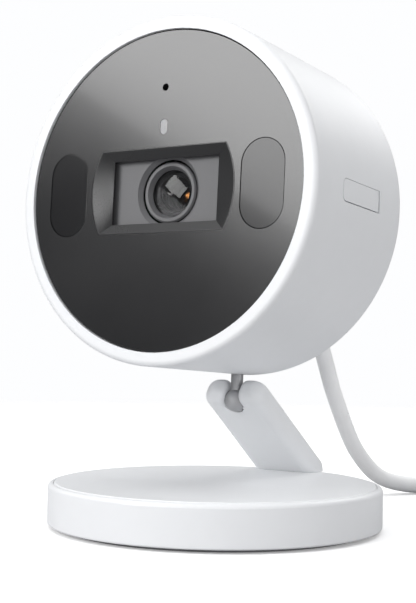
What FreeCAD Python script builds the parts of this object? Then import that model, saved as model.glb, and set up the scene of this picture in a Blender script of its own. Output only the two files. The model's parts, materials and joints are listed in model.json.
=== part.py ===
import FreeCAD, Part
import math
import os
import Sketcher

# A small desk-standing security camera: a round head with a dark front panel and two pill-shaped
# light windows, on a ball joint, a slanted arm and a round weighted base, with a captive USB cord.
# Millimetres. Origin: middle of the underside of the base. +Z up, the head looks along -Y.

Vector = FreeCAD.Vector
Placement = FreeCAD.Placement
Rotation = FreeCAD.Rotation

os.makedirs("parts", exist_ok=True)
doc = FreeCAD.newDocument("desk_camera")

# ---------------------------------------------------------------------------------------------
# Driving dimensions
# ---------------------------------------------------------------------------------------------
# In the head's own frame x is to the side, y is up and z points out of the front panel, with
# z = 0 on the panel's outer face, so levels inside the head are negative.

DIMENSIONS = {
    # head shell
    "head_radius": 33.0, "head_bore": 30.4, "head_front": 0.5, "head_back": -35.8,
    "head_inside_back": -33.4, "head_front_round": 1.0, "head_back_round": 2.0,
    "head_pitch": 3.25, "head_forward": -20.66, "head_height": 64.66,
    "column_pilot": 0.85, "boss_radius": 2.2, "boss_pilot": 0.65, "swivel_boss_foot": 31.0,
    "swivel_boss_top": 24.5, "grille_hole": 0.6, "grille_pitch": 2.2,
    # front panel and the pieces seated in it
    "panel_radius": 30.25, "panel_back": -1.6, "tape_back": -1.75, "tape_bore": 27.6,
    "window_offset": 21.8, "window_half_width": 4.5, "window_half_height": 8.2,
    "window_front": -0.06, "seat_gap": 0.04, "mic_height": 19.4, "mic_hole": 0.7,
    "status_height": 11.9, "status_half_width": 0.78, "status_half_height": 1.4,
    "hood_half_width": 14.0, "hood_half_height": 8.0, "hood_side_radius": 16.3,
    "hood_floor_half_width": 11.8, "hood_floor_half_height": 6.1, "hood_lip": -1.2,
    "hood_lip_back": -1.45, "hood_back": -2.4, "hood_cavity_half_width": 13.2,
    "hood_cavity_half_height": 7.2, "flange_side": 3.0, "flange_end": 1.8,
    "lens_plate_back": -3.4, "lens_plate_hole": 6.2, "lens_plate_bevel": 0.75,
    # lens, filter and sensor
    "barrel_radius": 5.85, "barrel_front": -3.0, "barrel_back": -14.6, "barrel_seat": 4.45,
    "barrel_bore": 3.4, "lens_radius": 4.4, "lens_edge": -3.9, "lens_dome": 12.0, "lens_rim": 1.45,
    "inner_radius": 3.35, "inner_back": -13.0, "inner_edge": -7.0, "inner_dome": 7.4, "mount_radius": 7.6,
    "mount_front": -9.6, "mount_half": 11.5, "mount_deck": -13.2, "sensor_board_front": -19.3,
    "sensor_board_back": -20.5, "sensor_board_half": 14.0, "filter_low": -16.4, "filter_high": -15.0,
    "post_offset": 12.0, "post_radius": 1.7,
    # frame and light board
    "frame_back": -3.55, "frame_rim_back": -8.4, "frame_rim_bore": 28.2, "light_board_front": -6.4,
    "light_board_back": -7.4, "light_board_radius": 27.9, "column_offset": 18.2,
    "column_radius": 2.8, "column_top": -8.5,
    # main board and what is behind it
    "main_board_front": -25.0, "main_board_back": -26.2, "main_board_radius": 28.4,
    "spreader_radius": 21.0, "speaker_radius": 9.0, "speaker_height": 11.5, "boss_circle": 24.2,
    "speaker_back": -33.2, "speaker_rim": -30.9, "speaker_front": -29.0, "magnet_radius": 6.0,
    # card bay on the side
    "card_low": -21.3, "card_high": -10.3, "card_bottom": -0.5, "card_top": 0.3,
    "cover_front": -9.6, "cover_back": -25.05, "cover_low": -2.15, "cover_high": 2.15,
    "cover_floor": 31.75, "cover_round": 1.1, "hinge_side": 32.42, "hinge_depth": -24.35,
    "reset_height": -0.2, "reset_depth": -23.5, "reset_radius": 0.75,
    # ball joint
    "stud_depth": -30.4, "ball_drop": -38.3, "ball_radius": 2.4, "stem_radius": 1.25,
    "running_gap": 0.05, "bush_radius": 2.9, "swivel_boss_radius": 4.3,
    # cord outlet
    "gland_height": -14.0, "cord_radius": 1.9, "gland_tail": -43.3, "gland_flange": 4.8,
    "gland_foot": -31.6, "gland_seat": -33.35, "gland_sleeve": 3.35, "gland_neck": -36.4,
    "gland_end": 2.75,
    # arm
    "arm_lean": 54.3, "arm_half_width": 6.9, "arm_foot_half_width": 7.8, "arm_front_face": 1.62,
    "arm_back_face": -3.78, "arm_tip": 3.25, "arm_length": 42.0, "arm_round": 2.2,
    "tip_round": 3.2, "lobe_round": 1.4, "slot_half_width": 1.55, "arm_trim_radius": 32.6,
    # base
    "base_radius": 33.0, "base_top": 8.78, "shell_top": 8.6, "shell_bottom": 0.7,
    "shell_bore": 31.95, "shell_floor": 3.1, "pad_recess": 1.3, "pad_radius": 30.4,
    "cover_radius": 31.85, "cover_underside": 6.98, "ballast_radius": 30.6, "ballast_top": 6.1,
    "base_screw_circle": 20.0, "arm_screw_side": 4.0, "arm_screw_back": 29.0,
    "base_boss": 2.6,
    # cord laid on the desk
    "coil_side": 54.0, "coil_behind": 68.0, "coil_radius": 33.4, "coil_bore": 10.6,
    "coil_bottom": 0.05, "coil_top": 7.7, "edge_break": 0.15,
    # plug
    "grip_length": 20.0, "grip_half_width": 7.0, "grip_half_height": 4.0, "plug_reach": 32.0,
    "shell_half_width": 6.0, "shell_half_height": 2.25, "shell_wall": 0.3,
}

sheet = doc.addObject("Spreadsheet::Sheet", "Sizes")


class Size:
    """A length that keeps both its number and the sheet formula that it comes from."""

    def __init__(self, value, formula):
        self.value = value
        self.formula = formula

    def __add__(self, other):
        other = size_of(other)
        return Size(self.value + other.value, f"({self.formula} + {other.formula})")

    def __sub__(self, other):
        other = size_of(other)
        return Size(self.value - other.value, f"({self.formula} - {other.formula})")

    def __mul__(self, factor):
        return Size(self.value * factor, f"({self.formula} * {factor})")

    def __neg__(self):
        return self * -1


def size_of(number):
    """A plain number as a Size; a Size is passed on as it is."""
    if isinstance(number, Size):
        return number
    return Size(float(number), f"({float(number)})")


class Sheet:
    """Every driving dimension by its alias."""


sizes = Sheet()
for row, (alias, number) in enumerate(DIMENSIONS.items(), start=1):
    sheet.set(f"A{row}", alias)
    sheet.set(f"B{row}", str(number))
    sheet.setAlias(f"B{row}", alias)
    setattr(sizes, alias, Size(number, f"Sizes.{alias}"))
doc.recompute()


def bind(target, path, size):
    """Let a property follow its formula in the sheet."""
    target.setExpression(path, size_of(size).formula)


# ---------------------------------------------------------------------------------------------
# Frames
# ---------------------------------------------------------------------------------------------

WORLD = Placement()
HEAD = Placement(Vector(0, sizes.head_forward.value, sizes.head_height.value),
                 Rotation(Vector(1, 0, 0), 90 - sizes.head_pitch.value))
BALL = HEAD.multVec(Vector(0, sizes.ball_drop.value, sizes.stud_depth.value))
# The stud's frame has its z along the stem, up into the head, and its origin at the ball's middle.
STUD = Placement(BALL, HEAD.Rotation * Rotation(Vector(1, 0, 0), -90))
# The arm's frame has its origin at the ball's middle, y up along the arm and z out of its front.
ARM = Placement(BALL, Rotation(Vector(1, 0, 0), 90 + sizes.arm_lean.value))

# ---------------------------------------------------------------------------------------------
# Sketches
# ---------------------------------------------------------------------------------------------


def point_at(sketch, index, vertex, x, y):
    """Dimension a sketch point from the origin, or pin it to an axis where the distance is zero."""
    for kind, axis, size in (("DistanceX", -2, size_of(x)), ("DistanceY", -1, size_of(y))):
        if size.value == 0.0:
            sketch.addConstraint(Sketcher.Constraint("PointOnObject", index, vertex, axis))
            continue
        number = sketch.addConstraint(Sketcher.Constraint(kind, -1, 1, index, vertex, size.value))
        bind(sketch, f"Constraints[{number}]", size)


def radius_of(sketch, index, radius):
    number = sketch.addConstraint(Sketcher.Constraint("Radius", index, size_of(radius).value))
    bind(sketch, f"Constraints[{number}]", radius)


def circle(sketch, radius, x=0, y=0):
    middle = Vector(size_of(x).value, size_of(y).value, 0)
    index = sketch.addGeometry(Part.Circle(middle, Vector(0, 0, 1), size_of(radius).value), False)
    point_at(sketch, index, 3, x, y)
    radius_of(sketch, index, radius)


def outline(sketch, corners, arcs=None):
    """A closed outline through corners; arcs gives the signed radius of the side after a corner."""
    arcs = arcs or {}
    count = len(corners)
    places = [Vector(size_of(x).value, size_of(y).value, 0) for x, y in corners]
    sides = []
    for number, start in enumerate(places):
        finish = places[(number + 1) % count]
        if number not in arcs:
            sides.append((sketch.addGeometry(Part.LineSegment(start, finish), False), 1, 2))
            continue
        radius = size_of(arcs[number]).value
        half = (finish - start) * 0.5
        across = Vector(half.y, -half.x, 0).normalize()
        rise = abs(radius) - math.sqrt(radius * radius - half.Length ** 2)
        middle = start + half + across * math.copysign(rise, radius)
        index = sketch.addGeometry(Part.Arc(start, middle, finish), False)
        ends = (1, 2) if radius > 0 else (2, 1)
        sides.append((index, ends[0], ends[1]))
        radius_of(sketch, index, arcs[number] if radius > 0 else -size_of(arcs[number]))
    for number, (index, start, finish) in enumerate(sides):
        following, first, _ = sides[(number + 1) % count]
        sketch.addConstraint(Sketcher.Constraint("Coincident", index, finish, following, first))
        point_at(sketch, index, start, *corners[number])


def rectangle(sketch, left, right, low, high):
    outline(sketch, [(left, low), (right, low), (right, high), (left, high)])


def centred(sketch, half_width, half_height, x=0, y=0):
    x, y = size_of(x), size_of(y)
    half_width, half_height = size_of(half_width), size_of(half_height)
    rectangle(sketch, x - half_width, x + half_width, y - half_height, y + half_height)


def pill(sketch, half_width, half_height, x=0, y=0, gap=0):
    """Two straight sides joined by half circles; a gap makes it larger all round."""
    half_width = size_of(half_width) + gap
    reach = size_of(half_height) + gap - half_width
    x, y = size_of(x), size_of(y)
    corners = [(x - half_width, y - reach), (x + half_width, y - reach),
               (x + half_width, y + reach), (x - half_width, y + reach)]
    # A half circle's radius is a hair over half its chord, so the arc always reaches its ends.
    radius = half_width * 1.00001
    outline(sketch, corners, {0: radius, 2: radius})


def new_body(name, frame=WORLD):
    body = doc.addObject("PartDesign::Body", name)
    body.Placement = frame
    return body


def new_sketch(body, name, level=0, role="XY_Plane"):
    """A sketch on one of the body's own origin planes, moved along the plane's normal."""
    sketch = body.newObject("Sketcher::SketchObject", name)
    plane = next(item for item in body.Origin.OriginFeatures if item.Role == role)
    sketch.AttachmentSupport = [(plane, "")]
    sketch.MapMode = "FlatFace"
    bind(sketch, "AttachmentOffset.Base.z", level)
    return sketch


# ---------------------------------------------------------------------------------------------
# Features
# ---------------------------------------------------------------------------------------------


def pad(body, name, low, high, draw, role="XY_Plane"):
    """Material from the lower level up to the higher one."""
    sketch = new_sketch(body, f"{body.Name}_{name}_sketch", low, role)
    draw(sketch)
    feature = body.newObject("PartDesign::Pad", f"{body.Name}_{name}")
    feature.Profile = sketch
    bind(feature, "Length", size_of(high) - low)
    return feature


def pocket(body, name, high, low, draw, role="XY_Plane"):
    """A cut from the higher level down to the lower one."""
    sketch = new_sketch(body, f"{body.Name}_{name}_sketch", high, role)
    draw(sketch)
    feature = body.newObject("PartDesign::Pocket", f"{body.Name}_{name}")
    feature.Profile = sketch
    bind(feature, "Length", size_of(high) - low)
    return feature


def turned(body, name, corners, arcs=None, kind="Revolution"):
    """A solid or a groove of revolution about the body's z axis, from (radius, level) corners."""
    sketch = new_sketch(body, f"{body.Name}_{name}_sketch", 0, "XZ_Plane")
    outline(sketch, corners, arcs)
    feature = body.newObject(f"PartDesign::{kind}", f"{body.Name}_{name}")
    feature.Profile = sketch
    feature.ReferenceAxis = (sketch, ["V_Axis"])
    feature.Angle = 360
    return feature


def dress(body, name, size, pick, kind="Fillet"):
    """Round or bevel the edges of the newest feature that pick accepts."""
    doc.recompute()
    base = body.Tip
    edges = [f"Edge{number}" for number, edge in enumerate(base.Shape.Edges, start=1) if pick(edge)]
    feature = body.newObject(f"PartDesign::{kind}", f"{body.Name}_{name}")
    feature.Base = (base, edges)
    bind(feature, "Radius" if kind == "Fillet" else "Size", size)
    return feature


def ring_edge(radius, level):
    """Picks the round edge of this radius at this level."""
    radius, level = size_of(radius).value, size_of(level).value

    def pick(edge):
        if not isinstance(edge.Curve, Part.Circle):
            return False
        same = abs(edge.Curve.Radius - radius) < 0.01
        return same and abs(edge.Curve.Center.z - level) < 0.01
    return pick


def front_edge(level):
    """Picks the edges that lie flat at this level."""
    level = size_of(level).value

    def pick(edge):
        return abs(edge.BoundBox.ZMin - level) < 0.01 and abs(edge.BoundBox.ZMax - level) < 0.01
    return pick


def box(name, across, along, upward, frame=WORLD):
    """A Part box between two values in each direction of its frame."""
    item = doc.addObject("Part::Box", name)
    low = [size_of(pair[0]) for pair in (across, along, upward)]
    high = [size_of(pair[1]) for pair in (across, along, upward)]
    for side, start, finish in zip(("Length", "Width", "Height"), low, high):
        bind(item, side, finish - start)
    corner = Placement(Vector(*(start.value for start in low)), Rotation())
    item.Placement = frame.multiply(corner)
    return item


TURNS = {
    "z": Rotation(),
    "y": Rotation(Vector(1, 0, 0), -90),
    "x": Rotation(Vector(0, 1, 0), 90),
}


def rod(name, radius, start, length, place=(0, 0), frame=WORLD, axis="z"):
    """A Part cylinder along one axis of its frame; place gives its two other coordinates."""
    item = doc.addObject("Part::Cylinder", name)
    bind(item, "Radius", radius)
    bind(item, "Height", length)
    first, second = size_of(place[0]).value, size_of(place[1]).value
    begin = size_of(start).value
    corner = {"z": (first, second, begin), "y": (first, begin, second), "x": (begin, first, second)}
    item.Placement = frame.multiply(Placement(Vector(*corner[axis]), TURNS[axis]))
    return item


def joined(name, items):
    union = doc.addObject("Part::MultiFuse", name)
    union.Shapes = items
    return union


def cut(name, base, tools):
    """The base less its tools."""
    item = doc.addObject("Part::Cut", name)
    item.Base = base
    item.Tool = tools[0] if len(tools) == 1 else joined(f"{name}_tools", tools)
    return item


sub_parts = {}


def keep(node, item):
    """Name a finished sub-part; the name is also its file's."""
    item.Label = node
    sub_parts[node] = item
    return item


def sided(sign, size):
    """The size on the right, or its negative on the left."""
    return size if sign > 0 else -size


SIDES = (("left", -1), ("right", 1))
CORNERS = ((1, 1), (-1, 1), (-1, -1), (1, -1))
BOSS_ANGLES = (60, 180, 300)


def column_circles(sketch, radius):
    """A circle on each of the four columns."""
    for side, up in CORNERS:
        circle(sketch, radius, sided(side, sizes.column_offset), sided(up, sizes.column_offset))


def post_circles(sketch, radius):
    """A circle on each of the two posts that carry the sensor board."""
    for _, sign in SIDES:
        circle(sketch, radius, sided(sign, sizes.post_offset), sided(sign, sizes.post_offset))


def boss_circles(sketch, radius):
    """A circle on each of the three bosses that carry the main board."""
    for angle in BOSS_ANGLES:
        turn = math.radians(angle)
        circle(sketch, radius, sizes.boss_circle * math.cos(turn),
               sizes.boss_circle * round(math.sin(turn), 9))


def window_outlines(sketch, gap=0):
    for _, sign in SIDES:
        pill(sketch, sizes.window_half_width, sizes.window_half_height,
             sided(sign, sizes.window_offset), 0, gap)


def hood_outline(sketch, gap=0.0):
    """A rectangle whose two short sides bow outwards."""
    wide = sizes.hood_half_width + gap
    tall = sizes.hood_half_height + gap
    corners = [(-wide, -tall), (wide, -tall), (wide, tall), (-wide, tall)]
    outline(sketch, corners, {1: sizes.hood_side_radius, 3: sizes.hood_side_radius})


def hood_flange(sketch, gap=0.0):
    """The rectangle behind the hood's outline, which the frame holds."""
    centred(sketch, sizes.hood_half_width + sizes.flange_side + gap,
            sizes.hood_half_height + sizes.flange_end + gap)


# ---------------------------------------------------------------------------------------------
# Head shell
# ---------------------------------------------------------------------------------------------


def head_housing():
    """A moulded cup, open at the front, with its bosses and openings."""
    body = new_body("head_housing", HEAD)
    pad(body, "cup", sizes.head_back, sizes.head_front, lambda s: circle(s, sizes.head_radius))
    pocket(body, "bore", sizes.head_front, sizes.head_inside_back,
           lambda s: circle(s, sizes.head_bore))
    dress(body, "front_round", sizes.head_front_round, ring_edge(sizes.head_radius, sizes.head_front))
    dress(body, "back_round", sizes.head_back_round, ring_edge(sizes.head_radius, sizes.head_back))

    pad(body, "columns", sizes.head_inside_back, sizes.column_top,
        lambda s: column_circles(s, sizes.column_radius))
    pocket(body, "column_holes", sizes.column_top, sizes.column_top - 8.0,
           lambda s: column_circles(s, sizes.column_pilot))
    pad(body, "board_bosses", sizes.head_inside_back, sizes.main_board_back,
        lambda s: boss_circles(s, sizes.boss_radius))
    pocket(body, "boss_holes", sizes.main_board_back, sizes.main_board_back - 5.0,
           lambda s: boss_circles(s, sizes.boss_pilot))

    # The swivel boss stands on the floor of the cup, round the stem's axis. The sketch's plane
    # faces down, so its levels are the heights with their sign changed, and its y is the depth.
    def boss(sketch):
        circle(sketch, sizes.swivel_boss_radius, 0, sizes.stud_depth)
    foot, top = sizes.swivel_boss_foot, sizes.swivel_boss_top
    pad(body, "swivel_boss", top, foot, boss, "XZ_Plane")
    pocket(body, "swivel_bore", foot - 0.1, top - 0.5,
           lambda s: circle(s, sizes.bush_radius + 0.05, 0, sizes.stud_depth), "XZ_Plane")
    pocket(body, "stem_hole", sizes.head_radius + 1, foot - 1,
           lambda s: circle(s, sizes.stem_radius + 0.35, 0, sizes.stud_depth), "XZ_Plane")

    def grille(sketch):
        circle(sketch, sizes.grille_hole, 0, sizes.speaker_height)
        for ring in (1, 2, 3):
            reach = sizes.grille_pitch * ring
            for step in range(6 * ring):
                turn = math.tau * (step + 0.25) / (6 * ring)
                circle(sketch, sizes.grille_hole, reach * math.cos(turn),
                       sizes.speaker_height + reach * math.sin(turn))
    pocket(body, "grille", sizes.head_inside_back + 0.5, sizes.head_back - 0.5, grille)
    pocket(body, "gland_hole", sizes.head_inside_back + 0.5, sizes.head_back - 0.5,
           lambda s: circle(s, sizes.gland_sleeve + 0.05, 0, sizes.gland_height))
    doc.recompute()

    # The card bay: a shallow seat for the cover, the card's slot, the reset hole and the cover's
    # trunnion holes.
    depth = (sizes.cover_back, sizes.cover_front)
    block = box("cover_block", (sizes.cover_floor, 36), (sizes.cover_low, sizes.cover_high), depth, HEAD)
    seat = front_rounded("cover_seat", block, sizes.cover_front, sizes.cover_round + 0.1)
    slot = box("card_slot", (28, 36), (sizes.card_bottom - 0.3, sizes.card_top + 0.3),
               (sizes.card_low - 0.3, sizes.card_high + 0.3), HEAD)
    reset = rod("reset_hole", sizes.reset_radius + 0.1, 28, 8, (sizes.reset_height, sizes.reset_depth),
                HEAD, "x")
    trunnion = rod("trunnion_hole", 0.35, -2.75, 5.5, (sizes.hinge_side, sizes.hinge_depth), HEAD, "y")
    keep("head_housing", cut("head_shell", body, [seat, slot, reset, trunnion]))


def front_rounded(name, item, front, radius):
    """Round the two corners that lie at this depth and run along the head's x axis."""
    doc.recompute()
    local = HEAD.inverse()
    edges = []
    for number, edge in enumerate(item.Shape.Edges, start=1):
        first, last = (local.multVec(vertex.Point) for vertex in (edge.Vertexes[0], edge.Vertexes[-1]))
        in_place = abs(first.z - front.value) < 0.01 and abs(last.z - front.value) < 0.01
        if in_place and abs(first.y - last.y) < 0.01 and abs(first.x - last.x) > 0.5:
            edges.append((number, radius.value, radius.value))
    rounded = doc.addObject("Part::Fillet", name)
    rounded.Base = item
    rounded.Edges = edges
    return rounded


def card_cover():
    """A thin curved flap over the card bay, with a hinge barrel and two trunnions at its rear end."""
    outer = rod("cover_outer", sizes.head_radius, sizes.hinge_depth - 1, 18, (0, 0), HEAD)
    inner = rod("cover_inner", sizes.cover_floor + 0.15, sizes.hinge_depth - 1, 18, (0, 0), HEAD)
    curve = cut("cover_curve", outer, [inner])
    blank = box("cover_blank", (30, 34), (sizes.cover_low + 0.2, sizes.cover_high - 0.1),
                (sizes.hinge_depth, sizes.cover_front - 0.12), HEAD)
    plate = doc.addObject("Part::Common", "cover_plate")
    plate.Base = curve
    plate.Tool = blank
    rounded = front_rounded("cover_rounded", plate, sizes.cover_front - 0.12, sizes.cover_round)
    barrel = rod("cover_barrel", 0.5, -1.9, 3.85, (sizes.hinge_side, sizes.hinge_depth), HEAD, "y")
    pins = rod("cover_pins", 0.3, -2.6, 5.2, (sizes.hinge_side, sizes.hinge_depth), HEAD, "y")
    keep("card_cover", joined("cover_joined", [rounded, barrel, pins]))


# ---------------------------------------------------------------------------------------------
# Front panel and what is seated in it
# ---------------------------------------------------------------------------------------------


def front_panel():
    body = new_body("front_panel", HEAD)
    pad(body, "disc", sizes.panel_back, 0, lambda s: circle(s, sizes.panel_radius))
    dress(body, "rim_break", sizes.edge_break, ring_edge(sizes.panel_radius, 0))
    through = sizes.panel_back - 1
    pocket(body, "windows", 1, through, lambda s: window_outlines(s, sizes.seat_gap))
    pocket(body, "lens_opening", 1, through, lambda s: hood_outline(s, sizes.seat_gap))
    pocket(body, "mic_hole", 1, through, lambda s: circle(s, sizes.mic_hole, 0, sizes.mic_height))
    pocket(body, "status_slot", 1, through,
           lambda s: pill(s, sizes.status_half_width, sizes.status_half_height, 0,
                          sizes.status_height, 0.05))
    keep("front_panel", body)

    tape = new_body("panel_tape", HEAD)
    pad(tape, "ring", sizes.tape_back, sizes.panel_back, lambda s: circle(s, sizes.panel_radius - 0.3))
    pocket(tape, "bore", 1, sizes.tape_back - 1, lambda s: circle(s, sizes.tape_bore))
    keep("panel_tape", tape)


def light_windows():
    """A clear pill-shaped light guide fills each opening and reaches back through the frame."""
    for side, sign in SIDES:
        body = new_body(f"light_window_{side}", HEAD)
        pad(body, "guide", sizes.frame_back, sizes.window_front,
            lambda s: pill(s, sizes.window_half_width, sizes.window_half_height,
                           sided(sign, sizes.window_offset)))
        dress(body, "edge_break", sizes.edge_break, front_edge(sizes.window_front))
        keep(f"light_window_{side}", body)


def lens_hood():
    """The tapered frame round the lens, hollow behind its lip."""
    body = new_body("lens_hood", HEAD)
    pad(body, "block", sizes.hood_back, 0, hood_outline)
    pad(body, "flange", sizes.hood_back, sizes.tape_back - 0.02,
        hood_flange)
    wide = new_sketch(body, "hood_mouth", 0)
    hood_outline(wide, -0.12)
    narrow = new_sketch(body, "hood_throat", sizes.hood_lip)
    centred(narrow, sizes.hood_floor_half_width, sizes.hood_floor_half_height)
    taper = body.newObject("PartDesign::SubtractiveLoft", "hood_taper")
    taper.Profile = wide
    taper.Sections = [narrow]
    taper.Ruled = True
    pocket(body, "lip", sizes.hood_lip + 0.01, sizes.hood_lip_back - 0.01,
           lambda s: centred(s, sizes.hood_floor_half_width, sizes.hood_floor_half_height))
    pocket(body, "cavity", sizes.hood_lip_back, sizes.hood_back - 1,
           lambda s: centred(s, sizes.hood_cavity_half_width, sizes.hood_cavity_half_height))
    keep("lens_hood", body)

    plate = new_body("lens_plate", HEAD)
    pad(plate, "plate", sizes.lens_plate_back, sizes.hood_back,
        hood_flange)
    pocket(plate, "hole", sizes.hood_back + 1, sizes.lens_plate_back - 1,
           lambda s: circle(s, sizes.lens_plate_hole))
    dress(plate, "bevel", sizes.lens_plate_bevel,
          ring_edge(sizes.lens_plate_hole, sizes.hood_back), "Chamfer")
    keep("lens_plate", plate)


def status_light():
    guide = new_body("status_light_guide", HEAD)
    pad(guide, "guide", sizes.light_board_front + 0.75, -0.05,
        lambda s: pill(s, sizes.status_half_width, sizes.status_half_height, 0, sizes.status_height))
    keep("status_light_guide", guide)
    front, height = sizes.light_board_front, sizes.status_height
    keep("status_led", box("status_chip", (-0.5, 0.5), (height - 0.8, height + 0.8), (front, front + 0.7),
                           HEAD))


def microphone():
    front = sizes.light_board_front
    keep("microphone", box("mic_can", (-1.9, 1.9), (sizes.mic_height - 1.4, sizes.mic_height + 1.4),
                           (front, front + 1.1), HEAD))
    tube = rod("mic_tube", 1.5, front + 1.1, 3.5, (0, sizes.mic_height), HEAD)
    hole = rod("mic_tube_hole", sizes.mic_hole, front, 6, (0, sizes.mic_height), HEAD)
    keep("microphone_gasket", cut("mic_gasket", tube, [hole]))


# ---------------------------------------------------------------------------------------------
# Lens, filter slide and sensor
# ---------------------------------------------------------------------------------------------


def domed(name, radius, back, edge, dome):
    """A round lens with a flat back and a front that is part of a sphere."""
    depth = math.sqrt(dome.value ** 2 - radius.value ** 2)
    disc = rod(f"{name}_disc", radius, back, edge - back + dome - depth + 0.5, (0, 0), HEAD)
    ball = doc.addObject("Part::Sphere", f"{name}_ball")
    bind(ball, "Radius", dome)
    ball.Placement = HEAD.multiply(Placement(Vector(0, 0, edge.value - depth), Rotation()))
    lens = doc.addObject("Part::Common", name)
    lens.Base = disc
    lens.Tool = ball
    return lens


def lens_group():
    barrel = new_body("lens_barrel", HEAD)
    radius, seat = sizes.barrel_radius, sizes.barrel_seat
    front, back = sizes.barrel_front, sizes.barrel_back
    turned(barrel, "tube", [(radius, back), (radius, front - 0.3), (radius - 0.3, front),
                            (seat + 0.55, front), (seat, sizes.lens_edge), (seat, sizes.lens_edge - 1.5),
                            (sizes.barrel_bore, sizes.lens_edge - 1.5), (sizes.barrel_bore, back)])
    keep("lens_barrel", barrel)

    edge = sizes.lens_edge
    keep("front_lens", domed("front_dome", sizes.lens_radius, edge - sizes.lens_rim, edge, sizes.lens_dome))
    keep("inner_lenses", domed("inner_dome", sizes.inner_radius, sizes.inner_back, sizes.inner_edge,
                               sizes.inner_dome))

    mount = new_body("lens_mount", HEAD)
    pad(mount, "tower", sizes.mount_deck, sizes.mount_front, lambda s: circle(s, sizes.mount_radius))
    pad(mount, "base", sizes.sensor_board_front, sizes.mount_deck,
        lambda s: centred(s, sizes.mount_half, 8.0))
    pocket(mount, "lens_bore", sizes.mount_front + 1, sizes.mount_deck - 1.6,
           lambda s: circle(s, sizes.barrel_radius + 0.02))
    pocket(mount, "chamber", sizes.sensor_board_front + 2.6, sizes.sensor_board_front - 1,
           lambda s: centred(s, 7.0, 6.0))
    pocket(mount, "light_way", sizes.mount_deck - 1.5, sizes.sensor_board_front,
           lambda s: centred(s, 3.6, 3.6))
    doc.recompute()
    track = box("filter_track", (-10.4, 10.4), (-4.6, 4.6),
                (sizes.filter_low - 0.15, sizes.filter_high + 0.15), HEAD)
    keep("lens_mount", cut("mount_cut", mount, [track]))

    slide = new_body("filter_slide", HEAD)
    pad(slide, "plate", sizes.filter_low, sizes.filter_high, lambda s: rectangle(s, -3.9, 10.1, -4.3, 4.3))
    keep("filter_slide", slide)

    keep("image_sensor", box("sensor_chip", (-4.2, 4.2), (-3.4, 3.4),
                             (sizes.sensor_board_front, sizes.sensor_board_front + 1.2), HEAD))
    board = new_body("sensor_board", HEAD)
    half = sizes.sensor_board_half
    pad(board, "board", sizes.sensor_board_back, sizes.sensor_board_front, lambda s: centred(s, half, half))
    pocket(board, "screw_holes", sizes.sensor_board_front + 1, sizes.sensor_board_back - 1,
           lambda s: post_circles(s, 1.0))
    keep("sensor_board", board)


# ---------------------------------------------------------------------------------------------
# Inner frame, light board and lights
# ---------------------------------------------------------------------------------------------


def front_frame():
    """The inner frame: it carries the panel in front and the boards behind."""
    body = new_body("front_frame", HEAD)
    front = sizes.tape_back
    pad(body, "plate", sizes.frame_back, front, lambda s: circle(s, sizes.head_bore - 0.15))
    pad(body, "rim", sizes.frame_rim_back, sizes.frame_back, lambda s: circle(s, sizes.head_bore - 0.15))
    pocket(body, "rim_bore", sizes.frame_back, sizes.frame_rim_back - 1,
           lambda s: circle(s, sizes.frame_rim_bore))
    pad(body, "columns", sizes.column_top + 0.1, sizes.frame_back + 0.2,
        lambda s: column_circles(s, sizes.column_radius))
    pad(body, "posts", sizes.sensor_board_front, sizes.frame_back + 0.2,
        lambda s: post_circles(s, sizes.post_radius))
    pocket(body, "post_holes", sizes.sensor_board_front + 4.0, sizes.sensor_board_front - 1,
           lambda s: post_circles(s, sizes.boss_pilot))
    pocket(body, "screw_ways", front + 1, sizes.column_top - 1, lambda s: column_circles(s, 1.15))
    pocket(body, "screw_seats", front + 1, front - 1.3, lambda s: column_circles(s, 2.1))
    pocket(body, "windows", front + 1, sizes.frame_back - 0.05, lambda s: window_outlines(s, 0.1))
    pocket(body, "lens_way", front + 1, sizes.frame_back - 0.05, lambda s: hood_flange(s, 0.1))
    pocket(body, "mic_way", front + 1, sizes.frame_back - 0.05, lambda s: circle(s, 1.6, 0, sizes.mic_height))
    pocket(body, "status_way", front + 1, sizes.frame_back - 0.05,
           lambda s: pill(s, sizes.status_half_width, sizes.status_half_height, 0, sizes.status_height, 0.1))
    keep("front_frame", body)


def light_board():
    board = new_body("light_board", HEAD)
    top, bottom = sizes.light_board_front, sizes.light_board_back
    pad(board, "board", bottom, top, lambda s: circle(s, sizes.light_board_radius))
    pocket(board, "lens_hole", top + 1, bottom - 1, lambda s: circle(s, sizes.barrel_radius + 1.2))

    def clearances(sketch):
        column_circles(sketch, sizes.column_radius + 0.3)
        post_circles(sketch, sizes.post_radius + 0.3)
    pocket(board, "clearances", top + 1, bottom - 1, clearances)
    keep("light_board", board)

    whites = []
    for side, sign in SIDES:
        for row, up in enumerate((-1, 1)):
            x, y = sizes.window_offset.value * sign, 4.6 * up
            whites.append(box(f"white_{side}_{row}", (x - 1.4, x + 1.4), (y - 1.4, y + 1.4),
                              (top, top + 0.7), HEAD))
    keep("white_leds", joined("white_group", whites))
    infrared = []
    for side, sign in SIDES:
        x = sizes.window_offset.value * sign
        infrared.append(box(f"infrared_{side}", (x - 1.3, x + 1.3), (-1.3, 1.3), (top, top + 1.1), HEAD))
    keep("infrared_leds", joined("infrared_group", infrared))

    for side, sign in SIDES:
        cup = new_body(f"light_cup_{side}", HEAD)
        x = sided(sign, sizes.window_offset)
        pad(cup, "wall", top, sizes.frame_back - 0.05,
            lambda s: pill(s, sizes.window_half_width - 0.1, sizes.window_half_height + 0.3, x))
        pocket(cup, "inside", 0, top - 1,
               lambda s: pill(s, sizes.window_half_width - 1.0, sizes.window_half_height - 0.6, x))
        keep(f"light_cup_{side}", cup)


# ---------------------------------------------------------------------------------------------
# Main board, card bay and what is behind
# ---------------------------------------------------------------------------------------------


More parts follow.
